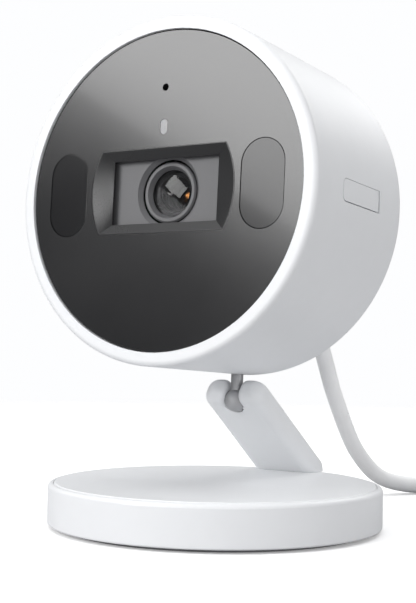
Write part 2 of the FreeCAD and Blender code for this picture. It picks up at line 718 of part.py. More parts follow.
def main_board():
    body = new_body("main_board", HEAD)
    top, bottom = sizes.main_board_front, sizes.main_board_back
    pad(body, "board", bottom, top, lambda s: circle(s, sizes.main_board_radius))
    pocket(body, "clearances", top + 1, bottom - 1,
           lambda s: column_circles(s, sizes.column_radius + 0.3))
    pocket(body, "swivel_notch", top + 1, bottom - 1, lambda s: rectangle(s, -5.0, 5.0, -33.0, -23.6))
    pocket(body, "screw_holes", top + 1, bottom - 1, lambda s: boss_circles(s, 0.95))
    keep("main_board", body)

    keep("processor", box("processor_chip", (-6.5, 6.5), (-4.5, 8.5), (bottom - 1.0, bottom), HEAD))
    keep("thermal_pad", box("pad_block", (-6.5, 6.5), (-4.5, 8.5), (bottom - 1.5, bottom - 1.0), HEAD))
    disc = rod("spreader_disc", sizes.spreader_radius, bottom - 2.3, 0.8, (0, 0), HEAD)
    lower = box("spreader_lower", (-30, 30), (-30, -7.5), (bottom - 4, bottom), HEAD)
    keep("heat_spreader", cut("spreader", disc, [lower]))

    keep("card_board", box("card_pcb", (14.6, 29.8), (-1.9, -1.1), (top, -8.6), HEAD))
    socket = box("socket_block", (14.8, 29.6), (-1.1, 0.75), (sizes.card_low - 0.5, sizes.card_high + 0.5),
                 HEAD)
    way = box("socket_way", (15.1, 32), (sizes.card_bottom - 0.08, sizes.card_top + 0.08),
              (sizes.card_low - 0.08, sizes.card_high + 0.08), HEAD)
    keep("card_socket", cut("socket", socket, [way]))
    keep("memory_card", box("card", (16.2, 31.2), (sizes.card_bottom, sizes.card_top),
                            (sizes.card_low, sizes.card_high), HEAD))
    keep("reset_switch", box("switch_block", (26.0, 29.0), (-1.1, 0.75), (-24.7, -22.3), HEAD))
    keep("reset_button", rod("reset_pin", sizes.reset_radius, 29.35, 2.2,
                             (sizes.reset_height, sizes.reset_depth), HEAD, "x"))
    keep("antenna", box("antenna_strip", (-12, 12), (27.3, 27.7), (-20.0, -12.0), HEAD))


def speaker():
    body = new_body("speaker", HEAD)
    back, rim, front = sizes.speaker_back, sizes.speaker_rim, sizes.speaker_front
    turned(body, "case", [(0, back), (sizes.speaker_radius, back), (sizes.speaker_radius, rim),
                          (sizes.magnet_radius, rim), (sizes.magnet_radius, front), (0, front)])
    body.Placement = HEAD.multiply(Placement(Vector(0, sizes.speaker_height.value, 0), Rotation()))
    keep("speaker", body)


def cord_outlet():
    """The strain relief on the head's back, and the power lead and connector behind it."""
    place = HEAD.multiply(Placement(Vector(0, sizes.gland_height.value, 0), Rotation()))
    body = new_body("cord_gland", place)
    bore = sizes.cord_radius
    flange, sleeve = sizes.gland_flange, sizes.gland_sleeve
    turned(body, "sleeve", [(bore, sizes.gland_foot), (flange, sizes.gland_foot),
                            (flange, sizes.gland_seat), (sleeve, sizes.gland_seat),
                            (sleeve, sizes.gland_neck), (sizes.gland_end, sizes.gland_tail),
                            (bore, sizes.gland_tail)])
    keep("cord_gland", body)
    # Inside the gland the cord runs straight through to the connector on the main board.
    keep("cord_inner", rod("cord_inside", sizes.cord_radius, sizes.gland_tail, 13.0,
                           (0, sizes.gland_height), HEAD))
    height = sizes.gland_height
    keep("power_connector", box("connector_block", (-4.0, 4.0), (height - 2.6, height + 2.6),
                                (-30.3, sizes.main_board_back), HEAD))


# ---------------------------------------------------------------------------------------------
# Fasteners in the head
# ---------------------------------------------------------------------------------------------


def screw(name, place, under_head, length, head_radius, head_height, shank, frame, way=1):
    """A pan-head screw along z; way is -1 where the head faces down."""
    low = under_head - length if way > 0 else under_head
    head_low = under_head if way > 0 else under_head - head_height
    body = rod(f"{name}_shank", shank, low, length, place, frame)
    head = rod(f"{name}_head", head_radius, head_low, head_height, place, frame)
    whole = joined(f"{name}_whole", [body, head])
    drive_low = under_head + head_height * 0.4 if way > 0 else under_head - head_height - 0.1
    bars = []
    for number, (wide, tall) in enumerate(((head_radius * 0.55, 0.22), (0.22, head_radius * 0.55))):
        x, y = size_of(place[0]).value, size_of(place[1]).value
        bars.append(box(f"{name}_bar_{number}", (x - wide, x + wide), (y - tall, y + tall),
                        (drive_low, drive_low + head_height * 0.6 + 0.1), frame))
    return cut(name, whole, bars)


def head_screws():
    spread = sizes.column_offset.value
    seat = sizes.tape_back.value - 1.3
    keep("frame_screws", joined("frame_screw_group", [
        screw(f"frame_screw_{number}", (spread * side, spread * up), seat, 12.0, 1.9, 1.2, 0.84, HEAD)
        for number, (side, up) in enumerate(CORNERS)]))
    circle_radius = sizes.boss_circle.value
    board = sizes.main_board_front.value
    keep("board_screws", joined("board_screw_group", [
        screw(f"board_screw_{angle}", (circle_radius * math.cos(math.radians(angle)),
                                       circle_radius * math.sin(math.radians(angle))),
              board, 5.5, 1.6, 1.0, 0.64, HEAD)
        for angle in BOSS_ANGLES]))
    post = sizes.post_offset.value
    keep("sensor_screws", joined("sensor_screw_group", [
        screw(f"sensor_screw_{name}", (post * sign, post * sign), sizes.sensor_board_back.value, 4.5,
              1.5, 1.0, 0.64, HEAD, -1)
        for name, sign in SIDES]))


# ---------------------------------------------------------------------------------------------
# Ball joint
# ---------------------------------------------------------------------------------------------


def ball_joint():
    """The stud turns in its bush in the head, and its ball tilts in the arm's socket."""
    stem = sizes.stem_radius
    bush_low = -sizes.ball_drop.value - 30.85
    bush_high = bush_low + 2.8
    stud = new_body("ball_stud", STUD)
    ball = sizes.ball_radius
    reach = math.sqrt(ball.value ** 2 - stem.value ** 2)
    top = bush_high + 0.12
    outline_points = [(0, -ball), (stem, reach), (stem, top), (0, top)]
    turned(stud, "stem", outline_points, {0: ball})
    pocket(stud, "screw_hole", top + 1, top - 3.2, lambda s: circle(s, 0.6))
    keep("ball_stud", stud)

    bush_outer = rod("bush_outer", sizes.bush_radius, bush_low, bush_high - bush_low, (0, 0), STUD)
    bush_inner = rod("bush_inner", stem + sizes.running_gap, bush_low - 1, 6, (0, 0), STUD)
    keep("swivel_bush", cut("bush", bush_outer, [bush_inner]))
    washer = rod("washer_disc", 2.5, top, 0.5, (0, 0), STUD)
    washer_hole = rod("washer_hole", 0.7, top - 1, 3, (0, 0), STUD)
    keep("stud_washer", cut("washer", washer, [washer_hole]))
    keep("stud_screw", screw("stud_screw_solid", (0, 0), top + 0.5, 3.4, 1.5, 1.0, 0.59, STUD))


# ---------------------------------------------------------------------------------------------
# Arm and base
# ---------------------------------------------------------------------------------------------


def arm():
    """A flat slanted bar whose split tip holds the ball."""
    body = new_body("arm_blank", ARM)
    wide, foot = sizes.arm_half_width, sizes.arm_foot_half_width
    pad(body, "bar", sizes.arm_back_face, sizes.arm_front_face,
        lambda s: outline(s, [(-foot, -sizes.arm_length), (foot, -sizes.arm_length),
                              (wide, sizes.arm_tip), (-wide, sizes.arm_tip)]))
    tip = sizes.arm_tip.value

    def tip_corner(edge):
        return edge.BoundBox.YMin > tip - 0.01 and edge.BoundBox.XLength < 0.01
    dress(body, "tip_rounds", sizes.tip_round, tip_corner)

    def long_edge(edge):
        box_of = edge.BoundBox
        return box_of.ZLength < 0.01 and box_of.YMax > -sizes.arm_length.value + 0.01
    dress(body, "rounds", sizes.arm_round, long_edge)
    # The slot lets the stem swing: full depth at the tip, and deeper towards the back face.
    slot = sizes.slot_half_width
    pocket(body, "slot", 6, -8, lambda s: rectangle(s, -slot, slot, -0.2, sizes.arm_tip + 3))

    def slot_corner(edge):
        across = abs(abs(edge.BoundBox.Center.x) - slot.value) < 0.01 and edge.BoundBox.XLength < 0.01
        return across and edge.BoundBox.YMin > tip - 0.01 and edge.BoundBox.YLength < 0.01
    dress(body, "lobe_rounds", sizes.lobe_round, slot_corner)
    pocket(body, "back_slot", -0.3, -8, lambda s: rectangle(s, -slot, slot, -1.85, sizes.arm_tip + 3))
    socket = body.newObject("PartDesign::SubtractiveSphere", "arm_socket")
    bind(socket, "Radius", sizes.ball_radius + sizes.running_gap)
    # The mouth shows the ball from the front.
    pocket(body, "mouth", 6, 0, lambda s: circle(s, sizes.ball_radius - 0.3))
    doc.recompute()

    keep_in = rod("arm_trim", sizes.arm_trim_radius, sizes.base_top, 60)
    trimmed = doc.addObject("Part::Common", "arm_trimmed")
    trimmed.Base = body
    trimmed.Tool = keep_in
    side, back = sizes.arm_screw_side, sizes.arm_screw_back
    holes = [rod(f"arm_hole_{name}", 0.8, sizes.base_top - 1, 4.2, (sided(sign, side), back))
             for name, sign in SIDES]
    keep("arm", cut("arm_finished", trimmed, holes))
    under = sizes.cover_underside.value
    keep("arm_screws", joined("arm_screw_group", [
        screw(f"arm_screw_{name}", (side.value * sign, back.value), under, 4.8, 1.7, 1.1, 0.79, WORLD, -1)
        for name, sign in SIDES]))


def base_places():
    """The three base screws, clear of the arm at the back."""
    circle_radius = sizes.base_screw_circle
    places = []
    for angle in (30, 150, 270):
        turn = math.radians(angle)
        places.append((circle_radius * round(math.cos(turn), 9), circle_radius * math.sin(turn)))
    return places


def base():
    shell = new_body("base_shell")
    pad(shell, "cup", sizes.shell_bottom, sizes.shell_top, lambda s: circle(s, sizes.base_radius))
    pocket(shell, "inside", sizes.shell_top + 1, sizes.shell_floor, lambda s: circle(s, sizes.shell_bore))
    pocket(shell, "pad_recess", sizes.pad_recess, sizes.shell_bottom - 1,
           lambda s: circle(s, sizes.pad_radius + 0.15))
    dress(shell, "top_round", 0.8, ring_edge(sizes.base_radius, sizes.shell_top))
    dress(shell, "bottom_round", 0.4, ring_edge(sizes.base_radius, sizes.shell_bottom))

    def screw_circles(radius):
        return lambda s: [circle(s, radius, x, y) for x, y in base_places()]
    pocket(shell, "screw_seats", 2.4, 0, screw_circles(2.3))
    pocket(shell, "screw_ways", 5, 0, screw_circles(1.2))
    keep("base_shell", shell)

    cover = new_body("base_cover")
    pad(cover, "disc", sizes.cover_underside, sizes.base_top, lambda s: circle(s, sizes.cover_radius))
    pad(cover, "bosses", sizes.shell_floor + 0.05, sizes.cover_underside + 0.2,
        screw_circles(sizes.base_boss))
    pocket(cover, "boss_holes", 7.2, sizes.shell_floor - 1, screw_circles(0.85))
    dress(cover, "rim_bevel", 0.25, ring_edge(sizes.cover_radius, sizes.base_top), "Chamfer")
    pocket(cover, "arm_holes", sizes.base_top + 1, sizes.cover_underside - 1,
           lambda s: [circle(s, 1.0, sided(sign, sizes.arm_screw_side), sizes.arm_screw_back)
                      for _, sign in SIDES])
    keep("base_cover", cover)

    ballast = new_body("ballast")
    pad(ballast, "disc", sizes.shell_floor, sizes.ballast_top, lambda s: circle(s, sizes.ballast_radius))
    pocket(ballast, "boss_ways", 12, 0, screw_circles(sizes.base_boss + 0.4))
    pocket(ballast, "arm_screw_room", 12, 0, lambda s: rectangle(s, -8.0, 8.0, 25.5, 33.0))
    keep("ballast", ballast)

    keep("foot_pad", rod("pad_disc", sizes.pad_radius, 0, sizes.pad_recess))
    keep("base_screws", joined("base_screw_group", [
        screw(f"base_screw_{number}", place, 2.4, 4.4, 2.1, 1.0, 0.84, WORLD, -1)
        for number, place in enumerate(base_places())]))


# ---------------------------------------------------------------------------------------------
# Cord
# ---------------------------------------------------------------------------------------------
# A soft round USB cord of 3.8 mm. It leaves the gland, falls in one gentle bend behind the base
# and runs along the desk to a put-away coil, with the plug lying on top of the coil.

OUTLET = HEAD.multVec(Vector(0, sizes.gland_height.value, sizes.gland_tail.value))
UPPER_ROUTE = [(0, 29.0, 47.9), (0, 36.9, 44.7), (0, 43.2, 39.2), (0, 50.3, 26.6)]
LOWER_ROUTE = [(0.03, 50.55, 26.17), (0.9, 57.0, 14.9), (2.4, 62.8, 8.2), (4.6, 68.0, 3.8),
               (9.6, 75.1, 1.98), (16.6, 80.8, 1.98), (26.3, 87.6, 1.98), (36.0, 93.9, 1.98)]
TAIL_ROUTE = [(51.6, 98.4, 8.4), (61.4, 97.9, 9.1), (69.7, 94.2, 10.4), (74.7, 86.6, 11.7),
              (75.9, 78.0, 11.7)]


def tangent_path(points, name):
    """Straight runs joined by tangent arcs, each as large as its two runs allow."""
    points = [Vector(*point) for point in points]
    edges = []
    start = points[0]
    for before, corner, after in zip(points, points[1:], points[2:]):
        arrive, leave = corner - before, after - corner
        turn = arrive.getAngle(leave)
        setback = 0.45 * min(arrive.Length, leave.Length)
        radius = setback / math.tan(turn / 2)
        first = corner - arrive.normalize() * setback
        last = corner + leave.normalize() * setback
        middle_way = (first + last) * 0.5 - corner
        centre_way = radius / math.cos(turn / 2)
        middle = corner + middle_way.normalize() * (centre_way - radius)
        edges.append(Part.LineSegment(start, first).toShape())
        edges.append(Part.Arc(first, middle, last).toShape())
        print(f"{name}: turn {math.degrees(turn):.0f} degrees, radius {radius:.1f} mm")
        start = last
    edges.append(Part.LineSegment(start, points[-1]).toShape())
    return Part.Wire(edges)


def tube(node, points):
    """A round cord along a path, as one solid."""
    path = tangent_path(points, node)
    way = path.Edges[0].tangentAt(path.Edges[0].FirstParameter)
    radius = sheet.get("cord_radius")
    ring = Part.Wire([Part.makeCircle(radius, Vector(*points[0]), way)])
    solid = path.makePipeShell([ring], True, False)
    expected = math.pi * radius ** 2 * path.Length
    print(f"{node}: length {path.Length:.1f} mm, volume {solid.Volume:.1f} of {expected:.1f} mm3")
    item = doc.addObject("Part::Feature", f"{node}_tube")
    item.Shape = solid
    keep(node, item)


def cord():
    tube("cord_upper", [tuple(OUTLET)] + UPPER_ROUTE)
    tube("cord_lower", LOWER_ROUTE)
    place = (sizes.coil_side, sizes.coil_behind)
    thick = sizes.coil_top - sizes.coil_bottom
    outer = rod("coil_outer", sizes.coil_radius, sizes.coil_bottom, thick, place)
    inner = rod("coil_inner", sizes.coil_bore, -1, 20, place)
    keep("cord_coil", cut("coil", outer, [inner]))
    tube("cord_tail", TAIL_ROUTE)


def usb_plug():
    """The plug's moulded grip and metal shell, lying on the coil."""
    finish = Vector(*TAIL_ROUTE[-1])
    before = Vector(*TAIL_ROUTE[-2])
    way = Vector(finish.x - before.x, finish.y - before.y, 0).normalize()
    turn = math.degrees(math.atan2(way.y, way.x))
    place = Placement(finish, Rotation(Vector(0, 0, 1), turn))
    grip, wide, tall = sizes.grip_length, sizes.grip_half_width, sizes.grip_half_height
    keep("plug_grip", box("grip_block", (0, grip), (-wide, wide), (-tall, tall), place))
    wide, tall = sizes.shell_half_width, sizes.shell_half_height
    inner_wide, inner_tall = wide - sizes.shell_wall, tall - sizes.shell_wall
    outer = box("shell_block", (grip, sizes.plug_reach), (-wide, wide), (-tall, tall), place)
    hollow = box("shell_hollow", (grip + 0.5, sizes.plug_reach + 1), (-inner_wide, inner_wide),
                 (-inner_tall, inner_tall), place)
    keep("plug_shell", cut("shell", outer, [hollow]))
    tongue_wide = inner_wide - 0.1
    keep("plug_tongue", box("tongue_block", (grip + 0.5, sizes.plug_reach - 0.5),
                            (-tongue_wide, tongue_wide), (-inner_tall + 0.05, -0.1), place))


# ---------------------------------------------------------------------------------------------
# Build, check and write
# ---------------------------------------------------------------------------------------------

head_housing()
card_cover()
front_panel()
light_windows()
lens_hood()
status_light()
microphone()
lens_group()
front_frame()
light_board()
main_board()
speaker()
cord_outlet()
head_screws()
ball_joint()
arm()
base()
cord()
usb_plug()
doc.recompute()

faults = []
for item in doc.Objects:
    if "Invalid" in item.State or "Error" in item.State:
        faults.append(f"{item.Name}: {item.State}")
    if item.TypeId in ("PartDesign::Pocket", "PartDesign::SubtractiveLoft", "PartDesign::SubtractiveSphere"):
        before = item.BaseFeature.Shape.Volume
        if before - item.Shape.Volume < 0.01:
            faults.append(f"{item.Name}: cuts nothing")
for node, item in sub_parts.items():
    if item.Shape.isNull() or not item.Shape.isValid() or not item.Shape.Solids:
        faults.append(f"{node}: no valid solid")
if faults:
    raise RuntimeError("; ".join(faults))

for node, item in sub_parts.items():
    item.Shape.exportStep(f"parts/{node}.step")
    print(f"{node}: {len(item.Shape.Solids)} solid(s), {item.Shape.Volume:.1f} mm3")
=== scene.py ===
# %% [markdown]
# # A desk security camera
# The camera is a white plastic drum with a dark acrylic front, held by a ball joint on a slanted
# arm over a round, weighted base. A thin white cord leaves its back. The frame below brings in
# every hard piece at its real size, in metres. What is left to do here is how the pieces look:
# their edges, their finishes, the glass, the cord and the plug.

# %% Load the frame
import json
import math

import bmesh
import bpy
from mathutils import Euler, Matrix, Quaternion, Vector


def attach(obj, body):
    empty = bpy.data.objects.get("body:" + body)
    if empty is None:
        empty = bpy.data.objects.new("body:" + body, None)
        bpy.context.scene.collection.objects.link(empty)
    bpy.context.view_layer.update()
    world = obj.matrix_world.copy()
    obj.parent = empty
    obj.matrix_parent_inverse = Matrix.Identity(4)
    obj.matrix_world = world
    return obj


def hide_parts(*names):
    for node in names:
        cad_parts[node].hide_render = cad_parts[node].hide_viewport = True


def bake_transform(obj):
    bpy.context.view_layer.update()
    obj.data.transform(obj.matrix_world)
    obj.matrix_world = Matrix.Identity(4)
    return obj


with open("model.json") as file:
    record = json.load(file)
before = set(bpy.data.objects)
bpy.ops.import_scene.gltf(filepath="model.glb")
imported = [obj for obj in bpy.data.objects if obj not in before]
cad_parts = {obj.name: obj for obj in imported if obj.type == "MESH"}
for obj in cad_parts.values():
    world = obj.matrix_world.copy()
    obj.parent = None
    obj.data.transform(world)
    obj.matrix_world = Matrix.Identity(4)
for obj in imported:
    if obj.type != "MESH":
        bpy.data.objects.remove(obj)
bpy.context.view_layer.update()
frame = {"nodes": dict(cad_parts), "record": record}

MM = 0.001
nodes = frame["nodes"]
slot_of = {part["node"]: part["material_slot"] for part in frame["record"]["subparts"]}

# %% [markdown]
# ## The viewpoint
# The lens is a long one, a hand's width from the desk and a quarter of a metre away. A long lens
# close up keeps the drum's round front nearly round and still shows its side. The place is worked
# out from an azimuth, an elevation, a roll and a distance, so each can be changed alone.

# %% Camera
AZIMUTH, ELEVATION, ROLL = math.radians(32.74), math.radians(-1.92), math.radians(0.92)
TARGET = Vector((-2.4, 0.0, 44.59)) * MM
DISTANCE = 244.66 * MM


def add_camera():
    data = bpy.data.cameras.new("studio_camera")
    data.lens = 72.77
    data.clip_start = 0.01
    camera = bpy.data.objects.new("studio_camera", data)
    bpy.context.scene.collection.objects.link(camera)
    forward = Vector((-math.sin(AZIMUTH) * math.cos(ELEVATION),
                      math.cos(AZIMUTH) * math.cos(ELEVATION), -math.sin(ELEVATION)))
    level = Vector((math.cos(AZIMUTH), math.sin(AZIMUTH), 0))
    above = level.cross(forward)
    right = level * math.cos(ROLL) + above * math.sin(ROLL)
    above = above * math.cos(ROLL) - level * math.sin(ROLL)
    turn = Matrix((right, above, -forward)).transposed()
    camera.matrix_world = Matrix.LocRotScale(TARGET - forward * DISTANCE, turn.to_quaternion(), None)
    bpy.context.scene.camera = camera
    print("camera at", [round(value / MM, 1) for value in camera.matrix_world.translation], "mm")


add_camera()

# %% [markdown]
# ## The cord
# The lead is 3.8 mm of soft white PVC. It comes straight out of its strain relief, bends down
# behind the base under its own weight and runs along the desk. The rest is put away as a flat
# coil of two layers: the lower one winds inwards, the upper one back outwards, and the plug lies on
# top. A NURBS curve is the right tool, because a few listed points give one smooth line. The
# lead crosses the ball joint, so it is two lengths that meet: the first runs from the head to the
# joint, the second reaches from the joint down to the desk.

# %% Routes, in millimetres
CORD_RADIUS = 1.9
OUTLET = (0.0, 21.777, 48.229)
UPPER_ROUTE = [(0, 29.0, 47.9), (0, 36.9, 44.7), (0, 43.2, 39.2), (0, 50.3, 26.6)]
LOWER_ROUTE = [(0, 50.3, 26.6), (0.9, 57.0, 14.9), (2.4, 62.8, 8.2), (4.6, 68.0, 3.8),
               (9.6, 75.1, 1.98), (16.6, 80.8, 1.98), (26.3, 87.6, 1.98)]
TAIL_ROUTE = [(61.4, 97.9, 9.1), (69.7, 94.2, 10.4), (74.7, 86.6, 11.7), (75.9, 78.0, 11.7)]
COIL_MIDDLE = Vector((54.0, 68.0))
COIL_OUTER, COIL_INNER = 31.5, 12.5
LAYERS = (1.98, 5.78)
POINTS_PER_TURN = 16
COIL_START = 124.8
CLIMB_POINTS, OUTWARD_POINTS = 6, 76


def coil_turns():
    """The put-away turns, clockwise seen from above: in along the desk, up, and out again."""
    step = 360 / POINTS_PER_TURN
    # A control point stands a little outside the curve that it pulls.
    spread = 1 / math.cos(math.radians(step / 2))
    pitch = 2 * CORD_RADIUS
    inward = round((COIL_OUTER - COIL_INNER) / pitch * POINTS_PER_TURN)
    points = []
    angle = COIL_START
    for count in range(inward + CLIMB_POINTS + OUTWARD_POINTS):
        radius = COIL_OUTER - pitch * count / POINTS_PER_TURN
        height = LAYERS[0]
        if count >= inward:
            rise = min(1.0, (count - inward) / CLIMB_POINTS)
            radius = COIL_INNER + pitch * max(0, count - inward - CLIMB_POINTS) / POINTS_PER_TURN
            height = LAYERS[0] + (LAYERS[1] - LAYERS[0]) * rise
        turn = math.radians(angle)
        points.append((COIL_MIDDLE.x + radius * spread * math.cos(turn),
                       COIL_MIDDLE.y + radius * spread * math.sin(turn), height))
        angle -= step
    print(f"coil: {len(points)} points, {len(points) / POINTS_PER_TURN:.1f} turns")
    return points


# %% Lay the cord


def lay_cord(name, route):
    """A round lead along a NURBS line: gives the mesh tube and the points that it follows."""
    curve = bpy.data.curves.new(name, "CURVE")
    curve.dimensions = "3D"
    spline = curve.splines.new("NURBS")
    spline.points.add(len(route) - 1)
    for point, place in zip(spline.points, route):
        point.co = (place[0] * MM, place[1] * MM, place[2] * MM, 1)
    spline.order_u = 3
    spline.use_endpoint_u = True
    spline.resolution_u = 8
    cord = bpy.data.objects.new(name, curve)
    bpy.context.scene.collection.objects.link(cord)
    line = bpy.data.meshes.new_from_object(cord)
    path = [tuple(vertex.co) for vertex in line.vertices]
    curve.bevel_depth = CORD_RADIUS * MM
    curve.bevel_resolution = 5
    curve.use_fill_caps = True
    bpy.ops.object.select_all(action="DESELECT")
    cord.select_set(True)
    bpy.context.view_layer.objects.active = cord
    bpy.ops.object.convert(target="MESH")
    bpy.ops.object.shade_smooth_by_angle(angle=math.radians(50))
    length = sum(math.dist(a, b) for a, b in zip(path, path[1:]))
    print(f"{name}: {length / MM:.0f} mm along {len(path)} points")
    return cord, path, length


upper_cord, upper_path, upper_length = lay_cord("cord_above", [OUTLET] + UPPER_ROUTE)
lower_cord, lower_path, lower_length = lay_cord("cord_below", LOWER_ROUTE + coil_turns() + TAIL_ROUTE)

# %% [markdown]
# ## Shader maths
# A finish is a small network of nodes. Written as Python sums it is easier to read than a screen of
# links: `Wire` wraps an output socket and turns +, -, * and / into Math nodes, and `Finish.node` adds
# any other node, with its settings first and then the values or links of its inputs.

# %% Wires


class Wire:
    """The output of a node, which takes part in sums."""

    def __init__(self, finish, socket):
        self.finish, self.socket = finish, socket

    def maths(self, operation, first, second, clamp=False):
        settings = {"operation": operation, "use_clamp": clamp}
        return self.finish.node("ShaderNodeMath", settings, {0: first, 1: second})

    def __add__(self, other):
        return self.maths("ADD", self, other)

    def __mul__(self, other):
        return self.maths("MULTIPLY", self, other)

    def __sub__(self, other):
        return self.maths("SUBTRACT", self, other)

    def __rsub__(self, other):
        return self.maths("SUBTRACT", other, self)

    def __truediv__(self, other):
        return self.maths("DIVIDE", self, other)

    def __rtruediv__(self, other):
        return self.maths("DIVIDE", other, self)

    __radd__ = __add__
    __rmul__ = __mul__

    def above(self, level):
        return self.maths("GREATER_THAN", self, level)

    def clamped(self):
        return self.maths("ADD", self, 0.0, clamp=True)


# %% Finishes


class Finish:
    """A material that is built up a node at a time."""

    def __init__(self, name, **constants):
        self.material = bpy.data.materials.new(name)
        self.material.use_nodes = True
        self.tree = self.material.node_tree
        self.shader = self.tree.nodes["Principled BSDF"]
        for socket, value in constants.items():
            self.shader.inputs[socket.replace("_", " ")].default_value = value

    def node(self, kind, settings=None, inputs=None, output=0):
        made = self.tree.nodes.new(kind)
        for name, value in (settings or {}).items():
            if name == "stops":
                self.set_stops(made.color_ramp, value)
            else:
                setattr(made, name, value)
        for key, value in (inputs or {}).items():
            if isinstance(value, Wire):
                self.tree.links.new(value.socket, made.inputs[key])
            else:
                made.inputs[key].default_value = value
        return Wire(self, made.outputs[output])

    @staticmethod
    def set_stops(ramp, stops):
        while len(ramp.elements) < len(stops):
            ramp.elements.new(0.5)
        for element, (place, colour) in zip(ramp.elements, stops):
            element.position = place
            element.color = colour

    def place(self, scale=(1, 1, 1), turn=(0, 0, 0), offset=(0, 0, 0)):
        """Object coordinates, turned and stretched: the pieces share one frame, in metres."""
        coordinates = self.node("ShaderNodeTexCoord", output="Object")
        return self.node("ShaderNodeMapping", None, {"Vector": coordinates, "Location": offset,
                                                     "Rotation": turn, "Scale": scale})

    def noise(self, size, detail=2.0, where=None, roughness=0.5):
        """Soft noise whose features are about this many millimetres across."""
        where = where or self.place()
        return self.node("ShaderNodeTexNoise", None,
                         {"Vector": where, "Scale": 1 / (size * MM), "Detail": detail,
                          "Roughness": roughness}, "Fac")

    def tint(self, factor, dark, light):
        """A colour between two, by a factor."""
        return self.node("ShaderNodeValToRGB", {"stops": [(0.0, (*dark, 1)), (1.0, (*light, 1))]},
                         {"Fac": factor}, "Color")

    def feed(self, socket, wire):
        self.tree.links.new(wire.socket, self.shader.inputs[socket])

    def bump(self, height, depth, strength=1.0):
        """Relief of this many millimetres."""
        relief = self.node("ShaderNodeBump", None, {"Height": height, "Distance": depth * MM,
                                                    "Strength": strength}, "Normal")
        self.feed("Normal", relief)


finishes = {}


def scaled(colour, factor):
    return tuple(min(1.0, channel * factor) for channel in colour)


# %% [markdown]
# ## Moulded plastics
# The shell is ABS from a spark-eroded mould. Its surface is not smooth: it has a fine, even grain
# of about a quarter of a millimetre, a slow change of gloss where the melt flowed, and a few specks.
# All four are noises of different sizes. The same recipe with other numbers makes the arm, the dark
# hood and the black inner frame, as they come out of the same kind of machine.

# %% Moulded plastic


def moulded(slot, colour, roughness, grain=0.25, depth=0.012, **constants):
    finish = Finish(slot, Specular_IOR_Level=0.5, **constants)
    flow = finish.noise(14.0, 3.0)
    speck = finish.noise(grain, 2.0, roughness=0.6)
    cloud = finish.noise(3.2, 4.0)
    finish.feed("Base Color", finish.tint((flow * 0.6 + cloud * 0.4).clamped(), scaled(colour, 0.965),
                                          scaled(colour, 1.03)))
    finish.feed("Roughness", (flow - 0.5) * 0.10 + (speck - 0.5) * 0.12 + roughness)
    finish.bump(speck, depth, 0.55)
    finishes[slot] = finish.material
    return finish


WHITE = (0.79, 0.80, 0.815)
moulded("white_plastic", WHITE, 0.42)
moulded("arm_plastic", WHITE, 0.36, 0.2, 0.008)
moulded("hood_plastic", (0.014, 0.014, 0.015), 0.30, 0.18, 0.006)
moulded("plate_plastic", (0.115, 0.115, 0.12), 0.5, 0.18, 0.008)
moulded("barrel_plastic", (0.115, 0.115, 0.12), 0.46, 0.15, 0.008)
moulded("frame_plastic", (0.025, 0.025, 0.027), 0.55)
moulded("bush_plastic", (0.80, 0.79, 0.74), 0.45, 0.3)
moulded("connector_white", (0.78, 0.76, 0.68), 0.5, 0.3)
moulded("chip_black", (0.02, 0.02, 0.022), 0.6, 0.12, 0.02)
moulded("card_black", (0.018, 0.018, 0.02), 0.48, 0.2)
moulded("cup_white", (0.86, 0.86, 0.84), 0.35, 0.3)
print(f"{len(finishes)} moulded plastics")

# %% [markdown]
# ## Acrylic, glass and lights
# The front is smoked acrylic, polished in the mould. Up close it has a very slight orange-peel
# ripple and finger haze that dulls it in soft patches, and that is what makes its reflection of
# the studio look soft. The two light windows are a softer acrylic with less shine. Glass needs
# transmission: the front lens is coated, so it reflects less than bare glass, and the dark tunnel
# behind it shows through.

# %% Acrylic and glass


def acrylic(slot, dark, light, roughness, ripple=2.4, depth=0.0025, pebble=0.0, shine=0.5):
    finish = Finish(slot, IOR=1.52, Coat_Roughness=0.06, Specular_IOR_Level=shine)
    haze = finish.noise(26.0, 3.0)
    peel = finish.noise(ripple, 1.0)
    tone = finish.noise(0.35, 1.0) * pebble + haze * (1 - pebble)
    finish.feed("Base Color", finish.tint(tone.clamped(), dark, light))
    finish.feed("Roughness", (haze - 0.5) * 0.10 + roughness)
    finish.feed("Coat Weight", (haze * 0.3).clamped())
    finish.bump(peel, depth, 0.5)
    finishes[slot] = finish.material


acrylic("panel_plastic", (0.006, 0.006, 0.007), (0.010, 0.010, 0.011), 0.20)
acrylic("window_plastic", (0.004, 0.004, 0.005), (0.007, 0.007, 0.008), 0.17, 2.4, 0.001, 0.5, 0.33)
acrylic("light_guide", (0.22, 0.22, 0.23), (0.30, 0.30, 0.31), 0.35, 0.5, 0.004, 0.5)
acrylic("led_dark", (0.05, 0.03, 0.045), (0.09, 0.06, 0.08), 0.12, 0.8)
acrylic("led_yellow", (0.80, 0.62, 0.12), (0.92, 0.78, 0.25), 0.35, 0.3, 0.01, 0.6)


def coated_glass():
    finish = Finish("optical_glass", IOR=1.34, Transmission_Weight=1.0)
    dust = finish.noise(0.5, 3.0)
    finish.feed("Base Color", finish.tint(dust, (0.30, 0.30, 0.31), (0.36, 0.36, 0.37)))
    finish.feed("Roughness", (dust.above(0.68) * 0.10 + 0.01))
    finishes["optical_glass"] = finish.material


def mirror_coat(name, colour, roughness):
    """An inner element, whose coating throws back one colour of the light."""
    finish = Finish(name, Metallic=1.0)
    rings = finish.noise(1.6, 2.0)
    finish.feed("Base Color", finish.tint(rings, scaled(colour, 0.7), colour))
    finish.feed("Roughness", rings * 0.06 + roughness)
    finishes[name] = finish.material


mirror_coat("amber_coat", (0.90, 0.40, 0.12), 0.12)
moulded("baffle_black", (0.008, 0.008, 0.009), 0.5, 0.12, 0.006)
coated_glass()

